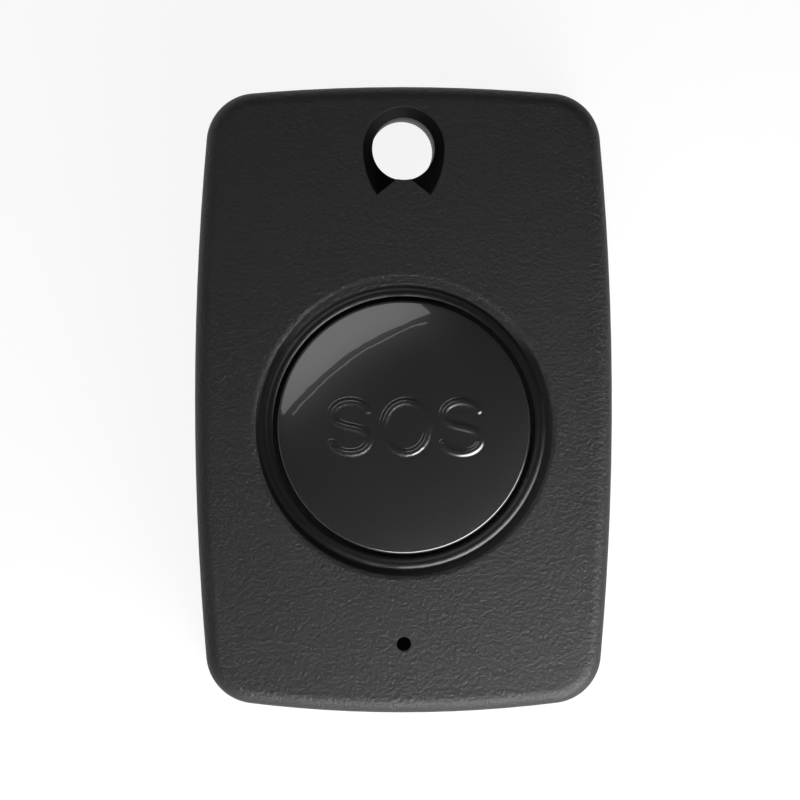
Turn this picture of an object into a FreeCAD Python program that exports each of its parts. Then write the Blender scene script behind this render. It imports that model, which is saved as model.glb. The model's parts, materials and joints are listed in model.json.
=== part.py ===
import FreeCAD, Part
import math
import os

# A wireless panic button for a keyring, in millimetres.
# It lies on its flat back: +Z points out of the front, +Y toward the keyring end, X across.
# The origin is in the middle of the back face, and x = 0 is the middle plane.

Vec = FreeCAD.Vector
UP = Vec(0, 0, 1)
ALONG = Vec(0, 1, 0)
ACROSS = Vec(1, 0, 0)

# Body: a barrel-shaped plan, and a front that falls gently toward the keyring end
body_length = 60.0
body_width = 40.0
side_bow = 280.0
keyring_end_bow = 170.0
far_end_bow = 120.0
corner_radius = 4.8
front_height = 12.6
front_peak_y = -19.8
crown_radius = 800.0
front_edge_radius = 1.4
back_edge_radius = 1.5
wall = 1.5
core_depth = 0.8
parting_level = 4.6
parting_chamfer = 0.15

# Button and the well round it
button_y = -2.67
cap_radius = 12.15
cap_gap = 0.4
cap_edge_round = 0.25
dome_radius = 90.0
shoulder_start = 6.0
shoulder_radius = 44.0
cap_proud = 0.05
cap_thickness = 1.2
cap_skirt = 1.0
bead_width = 1.0
bead_height = 0.15
bead_proud = 0.07
valley_width = 0.05
well_slope = 45.0
well_lip_round = 1.0
well_lip_width = 1.15
well_lip_rise = 0.004
stop_depth = 1.6
stop_gap = 0.03
flange_width = 0.8
flange_height = 0.8
flange_fit = 0.07
collar_wall = 1.4
lug_width = 2.4
lug_reach = 1.0
lug_fit = 0.1
rib_count = 6
rib_thickness = 0.9
rib_gap = 0.2
boss_radius = 3.2

# Keyring hole and the scoop round its front rim
keyring_inset = 5.97
keyring_radius = 3.0
keyring_wall = 1.4
keyring_back_chamfer = 0.4
scoop_depth = 1.15
scoop_rim_undercut = 0.15
scoop_side = 3.95
scoop_top = 4.05
scoop_horn = (2.65, -4.5)
scoop_flank = (3.6, -2.4)
scoop_end = 5.0
scoop_rim_turn = 70.5
tongue_tip = (0.5, -2.8)

# Seam between the two covers
tongue_fit = 0.08
tongue_thickness = 0.8
tongue_height = 1.5
groove_inset = 0.45
groove_width = 0.65
groove_depth = 0.55
seal_fit = 0.05

# Housing screws, driven in from the back
screw_inset = 6.4
screw_boss_radius = 2.3
screw_boss_foot = 3.2
screw_column_radius = 2.9
screw_head_radius = 1.8
screw_head_height = 1.2
screw_head_sink = 0.3
screw_shank_radius = 0.9
screw_length = 7.0
screw_clearance = 0.2
screw_pilot_fit = 0.02
screw_tip = 0.6
web_thickness = 0.8
web_board_gap = 0.6

# Circuit board
board_thickness = 1.0
board_gap = 0.3
board_keyring_gap = 2.0
board_screw_x_inset = 4.9
board_screw_head = 1.4
board_screw_head_height = 0.8
board_screw_shank = 0.7
board_screw_length = 3.4
board_boss_radius = 1.9
board_pin_radius = 0.8
board_pin_fit = 0.05
board_boss_spacing = 15.2
board_boss_y = -2.2
post_radius = 1.1
post_spacing = 12.0

# Coin cell and its contacts
cell_radius = 10.0
cell_height = 3.2
cell_y = -4.0
cell_edge = 0.3
cell_lid_inset = 1.2
cell_lid_step = 0.15
cell_side_gap = 0.3
clip_thickness = 0.25
clip_width = 6.0
clip_foot = 1.8
clip_floor_gap = 0.2
contact_height = 0.25
contact_thickness = 0.12
contact_length = 8.0
contact_width = 4.0
contact_arch = 2.4
cradle_wall = 0.8
cradle_height = 1.6
cradle_gap = 0.8
cradle_opening = 9.0

# Push switch under the middle of the cap
switch_size = 6.0
switch_base_height = 1.9
switch_plate = 0.25
switch_pit_radius = 2.5
switch_pit_depth = 1.0
plunger_radius = 1.7
plunger_foot_radius = 2.3
plunger_foot_height = 0.3
plunger_proud = 0.6
plunger_gap = 0.1
plunger_chamfer = 0.1
snap_radius = 2.2
snap_thickness = 0.1
terminal_width = 0.7
terminal_thickness = 0.15
terminal_reach = 1.2
terminal_rise = 0.5
terminal_spacing = 4.5

# Silicone membrane between the cap and the board
membrane_rim = 0.8
membrane_rim_edge = 0.25
membrane_platform = 0.6
membrane_platform_radius = 6.2
membrane_wall_foot = 10.6
membrane_wall = 0.6

# Indicator
pipe_inset = 6.6
pipe_radius = 0.66
pipe_hole_radius = 0.7
pipe_sink = 0.9
pipe_head_radius = 1.3
pipe_head_fit = 0.05
pipe_boss_radius = 2.2
pipe_boss_length = 2.4
led_gap = 0.3
led_base = (2.0, 1.25, 0.35)
led_lens = (1.3, 1.25, 0.75)

# Loop antenna, stamped from strip
antenna_width = 1.2
antenna_thickness = 0.3
antenna_half_span = 10.0
antenna_height = 2.6
antenna_foot = 0.9

# Chips and small parts under the board, sizes as length, width, height
controller_size = (8.65, 3.9, 1.45)
controller_end_gap = 3.4
controller_pins_a_side = 7
chip_pin_width = 0.4
chip_pin_pitch = 1.27
chip_pin_reach = 1.05
chip_pin_thickness = 0.2
chip_stand = 0.1
chip_chamfer = 0.25
transmitter_size = (4.0, 4.0, 0.9)
crystal_size = (3.2, 2.5, 0.8)
far_chip_spacing = 4.2
far_chip_gap = 4.6
capacitor_size = (1.6, 0.8, 0.8)
capacitor_gap = 4.0
resistor_size = (1.6, 0.8, 0.45)
resistor_gap = 2.2
row_count = 5
row_pitch = 2.6
end_cap_length = 0.3
end_cap_proud = 0.03

# How edges to be rounded or chamfered are found
level_tolerance = 0.03


def cylinder(radius, low, high, x=0.0, y=0.0):
    return Part.makeCylinder(radius, high - low, Vec(x, y, low), UP)


def block(size_x, size_y, low, high, x=0.0, y=0.0):
    return Part.makeBox(size_x, size_y, high - low, Vec(x - size_x / 2, y - size_y / 2, low))


def path(start, *steps):
    """Edges from start: a point adds a straight run, a pair adds an arc through its first point."""
    edges = []
    here = start
    for step in steps:
        if isinstance(step, tuple):
            edges.append(Part.Arc(here, step[0], step[1]).toShape())
            here = step[1]
        else:
            edges.append(Part.LineSegment(here, step).toShape())
            here = step
    return edges


def section(start, *steps):
    """The flat face inside a closed path."""
    return Part.Face(Part.Wire(path(start, *steps, start)))


def at(radius, level):
    """A point of a turned section."""
    return Vec(radius, 0, level)


def turned(face, x=0.0, y=0.0):
    """The face swept once round an upright axis."""
    solid = face.revolve(Vec(0, 0, 0), UP, 360)
    solid.translate(Vec(x, y, 0))
    return solid


def strip(thickness, width, start, *steps):
    """Sheet metal that follows a path in the XZ plane, above it, or below if thickness is negative."""
    face = Part.Wire(path(start, *steps)).makeOffset2D(thickness, 0, True, True)
    solid = face.extrude(Vec(0, width, 0))
    solid.translate(Vec(0, -width / 2, 0))
    return solid


def moved(solid, x=0.0, y=0.0, z=0.0, turn=0.0):
    """A copy turned about the upright axis, then moved."""
    copy = solid.copy()
    copy.rotate(Vec(0, 0, 0), UP, turn)
    copy.translate(Vec(x, y, z))
    return copy


def front_level(x, y):
    """Level of the crowned front surface."""
    fall = crown_radius - math.sqrt(crown_radius ** 2 - (y - front_peak_y) ** 2 - x ** 2)
    return front_height - fall


# Levels and places that follow from the sizes above
board_low = wall + clip_floor_gap + clip_thickness + cell_height + contact_height
board_high = board_low + board_thickness
cell_low = wall + clip_floor_gap + clip_thickness
cell_high = cell_low + cell_height
well_radius = cap_radius + cap_gap
cone_foot = well_radius + bead_width + valley_width
well_reach = cone_foot + well_lip_width
ring_level = front_level(0, button_y + cone_foot) + bead_proud
valley_level = ring_level - bead_height
stop_level = ring_level - stop_depth
flange_radius = cap_radius + flange_width
flange_bore = flange_radius + flange_fit
collar_radius = flange_bore + collar_wall
collar_foot = board_high + membrane_rim
switch_top = board_high + switch_base_height
plate_top = switch_top + switch_plate
plunger_top = plate_top + plunger_proud
platform_top = plunger_top + membrane_platform
keyring_y = body_length / 2 - keyring_inset
pipe_y = pipe_inset - body_length / 2
tongue_inset = wall + tongue_fit
rear_wall = tongue_inset + tongue_thickness
board_inset = rear_wall + board_gap
board_end = keyring_y - keyring_radius - keyring_wall - board_keyring_gap
screw_places = [
    (side * (body_width / 2 - screw_inset), end * (body_length / 2 - screw_inset))
    for end in (1, -1)
    for side in (-1, 1)
]
board_boss_x = body_width / 2 - board_screw_x_inset
board_screw_places = [
    (-board_boss_x, board_boss_y + board_boss_spacing),
    (board_boss_x, board_boss_y - board_boss_spacing),
]
board_pin_places = [(-x, y) for x, y in board_screw_places]
controller_y = board_end - controller_end_gap
capacitor_y = controller_y - capacitor_gap
resistor_y = cell_y - cell_radius - resistor_gap
far_chip_y = resistor_y - far_chip_gap
antenna_y = (board_end + button_y + collar_radius) / 2
led_top = board_high + led_lens[2]
screw_seat = screw_head_sink + screw_head_height
screw_tip_level = screw_seat + screw_length
plunger_foot = switch_top - plunger_foot_height - plunger_gap
pipe_top = front_level(0, pipe_y) - pipe_sink
pipe_boss_foot = front_level(0, pipe_y) - wall - pipe_boss_length
pipe_shoulder = front_level(0, pipe_y) - wall - pipe_boss_length / 2


def corner_centre(side, end):
    """Centre of a corner's arc, which touches a long side's arc and an end's arc from inside."""
    (side_centre, side_radius), (end_centre, end_radius) = side, end
    apart = end_centre - side_centre
    reach_side = side_radius - corner_radius
    reach_end = end_radius - corner_radius
    along = (reach_side ** 2 - reach_end ** 2 + apart.Length ** 2) / (2 * apart.Length)
    offset = math.sqrt(reach_side ** 2 - along ** 2)
    unit = Vec(apart).normalize()
    square = Vec(-unit.y, unit.x, 0)
    places = [side_centre + unit * along + square * offset * sign for sign in (1, -1)]
    return min(places, key=lambda place: place.Length)


def plan_arcs():
    """The plan's four long arcs, anticlockwise from the right side, and the corner after each."""
    arcs = [
        (Vec(body_width / 2 - side_bow, 0, 0), side_bow),
        (Vec(0, body_length / 2 - keyring_end_bow, 0), keyring_end_bow),
        (Vec(side_bow - body_width / 2, 0, 0), side_bow),
        (Vec(0, far_end_bow - body_length / 2, 0), far_end_bow),
    ]
    corners = [corner_centre(arcs[n], arcs[(n + 1) % 4]) for n in range(4)]
    return arcs, corners


def on_arc(centre, radius, toward):
    """The point of an arc in the direction of a place."""
    return centre + (toward - centre).normalize() * radius


def plan_column(inset, low, high):
    """The plan of the body as an upright block, pulled in all round by inset."""
    arcs, corners = plan_arcs()
    start = on_arc(arcs[0][0], arcs[0][1] - inset, corners[3])
    steps = []
    for n, ((centre, radius), corner) in enumerate(zip(arcs, corners)):
        next_centre, next_radius = arcs[(n + 1) % 4]
        radius -= inset
        first = on_arc(centre, radius, corners[n - 1])
        last = on_arc(centre, radius, corner)
        steps.append((on_arc(centre, radius, (first + last) / 2), last))
        after = on_arc(next_centre, next_radius - inset, corner)
        steps.append((on_arc(corner, corner_radius - inset, (last + after) / 2), after))
    face = Part.Face(Part.Wire(path(start, *steps)))
    face.translate(Vec(0, 0, low))
    return face.extrude(Vec(0, 0, high - low))


def plan_ring(outer_inset, inner_inset, low, high):
    """A wall that follows the plan between two insets."""
    return plan_column(outer_inset, low, high).cut(plan_column(inner_inset, low, high))


def under_crown(inset):
    """All that lies under the front surface, pulled in by inset."""
    radius = crown_radius - inset
    reach = body_length
    drop = radius - math.sqrt(radius ** 2 - reach ** 2)
    top = front_height - inset
    start = Vec(0, front_peak_y - reach, top - drop)
    peak = Vec(0, front_peak_y, top)
    end = Vec(0, front_peak_y + reach, top - drop)
    face = section(start, (peak, end), Vec(0, end.y, -front_height), Vec(0, start.y, -front_height))
    axis = Vec(0, 0, front_height - crown_radius)
    half_turn = math.degrees(math.atan(body_width / crown_radius))
    face.rotate(axis, ALONG, -half_turn)
    return face.revolve(axis, ALONG, 2 * half_turn)


def filled_form(inset, low):
    """The body as one sharp-edged block, pulled in by inset and standing on level low."""
    return plan_column(inset, low, 2 * front_height).common(under_crown(inset))


def body_form():
    """The outside of the whole body, with its rounded front and back edges."""
    form = filled_form(0, 0)
    front_edges = [edge for edge in form.Edges if edge.BoundBox.ZMin > front_height / 2]
    form = form.makeFillet(front_edge_radius, front_edges)
    back_edges = [edge for edge in form.Edges if edge.BoundBox.ZMax < back_edge_radius / 2]
    return form.makeFillet(back_edge_radius, back_edges)


def parting_half(form, above):
    """The half of the form above or below the parting level, its seam edge broken."""
    low = parting_level if above else -front_height
    high = 2 * front_height if above else parting_level
    half = form.common(block(2 * body_width, 2 * body_length, low, high))
    seam = [
        edge for edge in half.Edges
        if abs(edge.BoundBox.ZMin - parting_level) + edge.BoundBox.ZLength < level_tolerance
    ]
    return half.makeChamfer(parting_chamfer, seam)


def well_funnel():
    """All that lies above the well's sloping wall and its rounded lip.

    Its axis runs from the front's centre of curvature through the button, so that the lip meets
    the front at the same small angle all round, however deep the well is there.
    """
    lean = math.degrees(math.asin((button_y - front_peak_y) / crown_radius))
    outward = math.asin(well_reach / crown_radius)
    slope = math.radians(well_slope)
    lip_centre = crown_radius - well_lip_round + well_lip_rise

    def on_lip(turn):
        return at(
            lip_centre * math.sin(outward) + well_lip_round * math.sin(turn),
            lip_centre * math.cos(outward) + well_lip_round * math.cos(turn),
        )

    start, middle, end = on_lip(-slope), on_lip((outward - slope) / 2), on_lip(outward)
    top = crown_radius + cap_thickness
    funnel = turned(section(
        at(0, start.z - start.x * math.tan(slope)),
        start,
        (middle, end),
        at(end.x, top),
        at(0, top),
    ))
    funnel.rotate(Vec(0, 0, 0), ACROSS, -lean)
    funnel.translate(Vec(0, front_peak_y, front_height - crown_radius))
    return funnel


def well_cutters():
    """What the button's well removes: the cap's hole, and the wall and floor round the bead."""
    top = 2 * front_height
    hole = turned(section(
        at(0, collar_foot - membrane_rim),
        at(flange_bore, collar_foot - membrane_rim),
        at(flange_bore, stop_level),
        at(well_radius, stop_level),
        at(well_radius, top),
        at(0, top),
    ), 0, button_y)
    bead = turned(section(
        at(well_radius, valley_level),
        (at(well_radius + bead_width / 2, ring_level), at(well_radius + bead_width, valley_level)),
    ), 0, button_y)
    above = block(2 * body_width, 2 * body_length, valley_level, top)
    return [hole, well_funnel().common(above).cut(bead)]


def lug_cutter(fit, reach, low, high):
    """A bar across the button from which both anti-turn lugs or their slots are taken."""
    return block(2 * reach, lug_width + 2 * fit, low, high, 0, button_y)


def scoop_wire(reach):
    """Outline of the scoop: 0 on the hole's rim, 1 on the front surface, 2 as far above it."""
    slope = (front_level(0, keyring_y + 1) - front_level(0, keyring_y - 1)) / 2
    rim = keyring_radius - scoop_rim_undercut
    turn = math.radians(scoop_rim_turn)
    horn_rim = (rim * math.cos(turn), -rim * math.sin(turn))
    flank_rim = (rim * math.cos(turn / 2), -rim * math.sin(turn / 2))

    def point(on_rim, on_front, side=1):
        x = side * (on_rim[0] + reach * (on_front[0] - on_rim[0]))
        y = on_rim[1] + reach * (on_front[1] - on_rim[1])
        level = front_level(0, keyring_y) + slope * y - scoop_depth * (1 - reach)
        return Vec(x, keyring_y + y, level)

    right = point((rim, 0), (scoop_side, 0))
    left = point((rim, 0), (scoop_side, 0), -1)
    top = point((0, rim), (0, scoop_top))
    left_flank = point(flank_rim, scoop_flank, -1)
    left_horn = point(horn_rim, scoop_horn, -1)
    bottom = point((0, -rim), (0, -scoop_end))
    right_horn = point(horn_rim, scoop_horn)
    right_flank = point(flank_rim, scoop_flank)
    return Part.Wire(path(
        right, (top, left), (left_flank, left_horn), (bottom, right_horn), (right_flank, right)
    ))


def scoop_cutter():
    """The sunk horseshoe round the keyring hole, which leaves a tongue between its two horns."""
    tip_x, tip_y = tongue_tip
    root_x = tip_x + 2 * (scoop_horn[0] - tip_x)
    root_y = tip_y + 2 * (scoop_horn[1] - tip_y)
    tongue = section(
        Vec(-tip_x, tip_y, 0), Vec(tip_x, tip_y, 0), Vec(root_x, root_y, 0), Vec(-root_x, root_y, 0)
    ).extrude(Vec(0, 0, 2 * front_height))
    funnel = Part.makeLoft([scoop_wire(0), scoop_wire(2)], True, True)
    return funnel.cut(moved(tongue, 0, keyring_y))


def boss_webs(low, high):
    """Thin walls that tie the screw bosses to the side walls and the end walls."""
    webs = []
    for x, y in screw_places:
        side = math.copysign(screw_inset / 2, x)
        end = math.copysign(screw_inset / 2, y)
        webs.append(block(screw_inset, web_thickness, low, high, x + side, y))
        webs.append(block(web_thickness, screw_inset, low, high, x, y + end))
    return webs


def front_cover(form):
    shell = parting_half(form, True).cut(filled_form(wall, 0))
    core = filled_form(core_depth, 0)
    inner = [
        cylinder(collar_radius, collar_foot, front_height, 0, button_y),
        cylinder(keyring_radius + keyring_wall, parting_level, front_height, 0, keyring_y),
        cylinder(pipe_boss_radius, pipe_boss_foot, front_height, 0, pipe_y),
    ]
    for x, y in screw_places:
        inner.append(cylinder(screw_boss_radius, screw_boss_foot, front_height, x, y))
    for x, y in board_screw_places:
        inner.append(cylinder(board_boss_radius, board_high, front_height, x, y))
    for x, y in board_pin_places:
        inner.append(cylinder(board_boss_radius, board_high, front_height, x, y))
    inner += boss_webs(board_high + web_board_gap, front_height)
    inner = [piece.common(core) for piece in inner]
    for x, y in board_pin_places:
        inner.append(cylinder(board_pin_radius, board_low, board_high + board_pin_fit, x, y))
    cover = shell.multiFuse(inner)
    cutters = well_cutters() + [
        lug_cutter(lug_fit, collar_radius + lug_fit, collar_foot - membrane_rim, stop_level),
        scoop_cutter(),
        cylinder(keyring_radius, 0, 2 * front_height, 0, keyring_y),
        cylinder(pipe_hole_radius, 0, 2 * front_height, 0, pipe_y),
        cylinder(pipe_head_radius + pipe_head_fit, 0, pipe_shoulder, 0, pipe_y),
    ]
    for x, y in screw_places:
        cutters.append(cylinder(
            screw_shank_radius + screw_pilot_fit, 0, screw_tip_level + screw_clearance, x, y
        ))
    for x, y in board_screw_places:
        cutters.append(cylinder(
            board_screw_shank + screw_pilot_fit, 0, board_low + board_screw_length + screw_clearance,
            x, y
        ))
    for cutter in cutters:
        cover = cover.cut(cutter)
    return cover.removeSplitter()


def rear_cover(form):
    outer = parting_half(form, False)
    tray = outer.cut(plan_column(rear_wall, wall, front_height))
    tongue_top = parting_level + tongue_height
    keyring_tube = cylinder(keyring_radius + keyring_wall + tongue_fit, parting_level, tongue_top,
                            0, keyring_y)
    inner = [plan_ring(tongue_inset, rear_wall, wall, tongue_top).cut(keyring_tube)]
    inner.append(cylinder(keyring_radius + keyring_wall, 0, parting_level, 0, keyring_y))
    for x, y in screw_places:
        inner.append(cylinder(screw_column_radius, wall / 2, screw_boss_foot, x, y))
    for side in (-1, 1):
        for step in (-1, 1):
            inner.append(cylinder(
                post_radius, wall / 2, board_low, side * board_boss_x, cell_y + step * post_spacing / 2
            ))
    inner.append(cell_cradle())
    webs = [web.common(plan_column(tongue_inset, 0, front_height))
            for web in boss_webs(wall / 2, screw_boss_foot)]
    cover = tray.multiFuse(inner + webs)
    cutters = [
        plan_ring(groove_inset, groove_inset + groove_width, parting_level - groove_depth, tongue_top),
        cylinder(keyring_radius, -1, 2 * front_height, 0, keyring_y),
        keyring_back_cone(),
    ]
    for x, y in screw_places:
        cutters.append(cylinder(screw_shank_radius + screw_clearance, -1, front_height, x, y))
        cutters.append(cylinder(
            screw_head_radius + screw_clearance, -1, screw_seat, x, y
        ))
    for cutter in cutters:
        cover = cover.cut(cutter)
    return cover.removeSplitter()


def keyring_back_cone():
    """Breaks the back rim of the keyring hole for the split ring."""
    chamfer = keyring_back_chamfer
    return Part.makeCone(
        keyring_radius + 2 * chamfer, keyring_radius, 2 * chamfer, Vec(0, keyring_y, -chamfer), UP
    )


def cell_cradle():
    """Two curved ribs that keep the cell in place, open at the sides for its clip."""
    inner = cell_radius + cradle_gap
    ring = cylinder(inner + cradle_wall, wall / 2, wall + cradle_height, 0, cell_y)
    ring = ring.cut(cylinder(inner, 0, front_height, 0, cell_y))
    return ring.cut(block(2 * body_width, cradle_opening, 0, front_height, 0, cell_y))


def housing_seal():
    """A silicone cord that fills the groove in the rear cover's rim."""
    outer = groove_inset + seal_fit
    inner = groove_inset + groove_width - seal_fit
    return plan_ring(outer, inner, parting_level - groove_depth, parting_level)


def screw(head_radius, head_height, shank_radius, length):
    """A screw that points up, its head's underside on level 0."""
    flat = shank_radius / 2
    return turned(section(
        at(0, length),
        at(flat, length),
        at(shank_radius, length - screw_tip),
        at(shank_radius, 0),
        at(head_radius, 0),
        at(head_radius, -head_height / 2),
        at(head_radius - head_height / 2, -head_height),
        at(0, -head_height),
    ))


def on_shoulder(edge_level, radius):
    """A point of the cap's shoulder, which falls to edge_level at the cap's radius."""
    centre = shoulder_start - shoulder_radius * shoulder_start / dome_radius
    fall = math.sqrt(shoulder_radius ** 2 - (cap_radius - centre) ** 2)
    return at(radius, edge_level - fall + math.sqrt(shoulder_radius ** 2 - (radius - centre) ** 2))


def on_dome(edge_level, radius):
    """A point of the cap's flatter middle, which runs into the shoulder without a crease."""
    start = on_shoulder(edge_level, shoulder_start).z
    fall = math.sqrt(dome_radius ** 2 - shoulder_start ** 2)
    return at(radius, start - fall + math.sqrt(dome_radius ** 2 - radius ** 2))


def button_cap():
    """The round cap: domed top, rolled edge, skirt, stop flange, lugs, boss and ribs."""
    edge_level = ring_level + cap_proud
    under_level = edge_level - cap_thickness
    rim = on_shoulder(edge_level, cap_radius - cap_edge_round)
    roll = cap_edge_round * (1 - math.sqrt(0.5))
    flange_top = stop_level - stop_gap
    inner = cap_radius - cap_skirt
    cap = turned(section(
        on_dome(edge_level, 0),
        (on_dome(edge_level, shoulder_start / 2), on_dome(edge_level, shoulder_start)),
        (on_shoulder(edge_level, (shoulder_start + cap_radius) / 2), rim),
        (at(cap_radius - roll, rim.z - roll), at(cap_radius, rim.z - cap_edge_round)),
        at(cap_radius, flange_top),
        at(flange_radius, flange_top),
        at(flange_radius, flange_top - flange_height),
        at(inner, flange_top - flange_height),
        at(inner, under_level),
        at(boss_radius, under_level),
        at(boss_radius, platform_top),
        at(0, platform_top),
    ), 0, button_y)
    lug_low = flange_top - flange_height
    lugs = lug_cutter(0, flange_radius + lug_reach, lug_low, flange_top)
    lugs = lugs.cut(cylinder(cap_radius - cap_skirt / 2, 0, front_height, 0, button_y))
    ribs = []
    rib_length = inner + cap_skirt / 2 - boss_radius / 2
    for step in range(rib_count):
        rib = block(rib_length, rib_thickness, platform_top + rib_gap, under_level + cap_skirt / 2,
                    boss_radius / 2 + rib_length / 2)
        ribs.append(moved(rib, 0, button_y, 0, 360 * (step + 0.5) / rib_count))
    return cap.multiFuse([lugs] + ribs).removeSplitter()


def button_membrane():
    """A silicone boot: its rim lies on the board, its platform under the cap's boss."""
    rim_radius = collar_radius - membrane_rim_edge
    platform_low = platform_top - membrane_platform
    return turned(section(
        at(0, platform_low),
        at(membrane_platform_radius - membrane_wall / 2, platform_low),
        at(membrane_wall_foot - membrane_wall, board_high),
        at(rim_radius, board_high),
        at(rim_radius, collar_foot),
        at(membrane_wall_foot, collar_foot),
        at(membrane_platform_radius, platform_top),
        at(0, platform_top),
    ), 0, button_y)


def switch_base():
    base = block(switch_size, switch_size, board_high, switch_top, 0, button_y)
    return base.cut(cylinder(switch_pit_radius, switch_top - switch_pit_depth, front_height, 0, button_y))


def switch_plate_part():
    plate = block(switch_size, switch_size, switch_top, plate_top, 0, button_y)
    return plate.cut(cylinder(plunger_radius + plunger_gap, 0, front_height, 0, button_y))


def switch_plunger():
    return turned(section(
        at(0, plunger_foot),
        at(plunger_foot_radius, plunger_foot),
        at(plunger_foot_radius, plunger_foot + plunger_foot_height),
        at(plunger_radius, plunger_foot + plunger_foot_height),
        at(plunger_radius, plunger_top - plunger_chamfer),
        at(plunger_radius - plunger_chamfer, plunger_top),
        at(0, plunger_top),
    ), 0, button_y)


def switch_snap_dome():
    """A thin steel disc, domed up to the plunger's foot."""
    high = plunger_foot
    low = switch_top - switch_pit_depth
    flat = snap_radius / 2
    return turned(section(
        at(0, high),
        at(flat, high),
        at(snap_radius, low + snap_thickness),
        at(snap_radius, low),
        at(flat, high - snap_thickness),
        at(0, high - snap_thickness),
    ), 0, button_y)


def switch_terminal():
    """One bent leg, from the base's side down to the board and outward."""
    side = switch_size / 2
    foot = board_high
    return strip(
        terminal_thickness, terminal_width,
        Vec(side, 0, foot + terminal_rise),
        Vec(side + terminal_rise, 0, foot + terminal_rise),
        Vec(side + terminal_rise, 0, foot),
        Vec(side + terminal_rise + terminal_reach, 0, foot),
    )


def circuit_board():
    board = plan_column(board_inset, board_low, board_high)
    board = board.common(block(
        body_width, board_end + body_length / 2, board_low, board_high, 0,
        (board_end - body_length / 2) / 2
    ))
    for x, y in screw_places:
        board = board.cut(cylinder(screw_boss_radius + board_gap, 0, front_height, x, y))
    for x, y in board_screw_places:
        board = board.cut(cylinder(board_screw_shank + screw_clearance, 0, front_height, x, y))
    for x, y in board_pin_places:
        board = board.cut(cylinder(board_pin_radius + board_pin_fit, 0, front_height, x, y))
    return board


def coin_cell():
    """The round cell, its smaller lid toward the board."""
    shoulder = cell_high - cell_lid_step
    return turned(section(
        at(0, cell_low),
        at(cell_radius - cell_edge, cell_low),
        at(cell_radius, cell_low + cell_edge),
        at(cell_radius, shoulder - cell_edge),
        at(cell_radius - cell_edge, shoulder),
        at(cell_radius - cell_lid_inset, shoulder),
        at(cell_radius - cell_lid_inset, cell_high),
        at(0, cell_high),
    ), 0, cell_y)


def battery_clip():
    """A steel strap under the cell, with a leg and a soldered foot at each side."""
    leg = cell_radius + cell_side_gap
    clip = strip(
        -clip_thickness, clip_width,
        Vec(-leg - clip_foot, 0, board_low),
        Vec(-leg, 0, board_low),
        Vec(-leg, 0, cell_low),
        Vec(leg, 0, cell_low),
        Vec(leg, 0, board_low),
        Vec(leg + clip_foot, 0, board_low),
    )
    return moved(clip, 0, cell_y)


def battery_contact():
    """A thin plate on the board with an arched finger that presses on the cell's lid."""
    low = board_low - contact_thickness
    plate = block(contact_length, contact_width, low, board_low)
    window = block(2 * contact_arch, contact_width / 2, cell_low, board_high)
    finger = section(
        Vec(-contact_arch, 0, board_low),
        (Vec(0, 0, cell_high + contact_thickness), Vec(contact_arch, 0, board_low)),
        Vec(contact_arch, 0, low),
        (Vec(0, 0, cell_high), Vec(-contact_arch, 0, low)),
    ).extrude(Vec(0, contact_width / 2, 0))
    finger.translate(Vec(0, -contact_width / 4, 0))
    return moved(plate.cut(window).fuse(finger).removeSplitter(), 0, cell_y)


def light_pipe():
    """A clear stepped pin that carries the indicator's light to the front."""
    return turned(section(
        at(0, led_top + led_gap),
        at(pipe_head_radius, led_top + led_gap),
        at(pipe_head_radius, pipe_shoulder),
        at(pipe_radius, pipe_shoulder),
        at(pipe_radius, pipe_top),
        at(0, pipe_top),
    ), 0, pipe_y)


def indicator_led():
    base = block(led_base[0], led_base[1], board_high, board_high + led_base[2], 0, pipe_y)
    lens = block(led_lens[0], led_lens[1], board_high, led_top, 0, pipe_y)
    return base.fuse(lens).removeSplitter()


def gull_wing_chip(length, width, height, pins_a_side):
    """A moulded package with bent legs along both long sides, standing on level 0."""
    body = block(length, width, chip_stand, height)
    tops = [edge for edge in body.Edges if edge.BoundBox.ZMin > height / 2]
    body = body.makeChamfer(chip_chamfer, tops)
    side = width / 2
    middle = height / 2
    leg = section(
        Vec(0, side - chip_chamfer, middle),
        Vec(0, side + chip_pin_reach / 2, middle),
        Vec(0, side + chip_pin_reach / 2, chip_pin_thickness),
        Vec(0, side + chip_pin_reach, chip_pin_thickness),
        Vec(0, side + chip_pin_reach, 0),
        Vec(0, side + chip_pin_reach / 2 - chip_pin_thickness, 0),
        Vec(0, side + chip_pin_reach / 2 - chip_pin_thickness, middle - chip_pin_thickness),
        Vec(0, side - chip_chamfer, middle - chip_pin_thickness),
    ).extrude(Vec(chip_pin_width, 0, 0))
    legs = []
    for pin in range(pins_a_side):
        x = (pin - (pins_a_side - 1) / 2) * chip_pin_pitch
        legs.append(moved(leg, x - chip_pin_width / 2))
        legs.append(moved(leg, x + chip_pin_width / 2, 0, 0, 180))
    return body.multiFuse(legs).removeSplitter()


def flat_chip(length, width, height):
    """A leadless package with a chamfered corner for pin one."""
    body = block(length, width, 0, height)
    corner = [
        edge for edge in body.Edges
        if edge.BoundBox.XMax < 0 and edge.BoundBox.YMax < 0 and edge.BoundBox.ZLength > height / 2
    ]
    return body.makeChamfer(chip_chamfer, corner)


def end_capped_chip(length, width, height):
    """A chip resistor or capacitor with slightly thicker metal ends."""
    body = block(length, width, 0, height)
    ends = [
        block(end_cap_length, width + 2 * end_cap_proud, 0, height + end_cap_proud,
              side * (length - end_cap_length) / 2)
        for side in (-1, 1)
    ]
    return body.multiFuse(ends).removeSplitter()


def under_board(solid):
    """Turns a piece that stands on level 0 over, so that it hangs from the board."""
    copy = solid.copy()
    copy.rotate(Vec(0, 0, 0), ALONG, 180)
    copy.translate(Vec(0, 0, board_low))
    return copy


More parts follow.
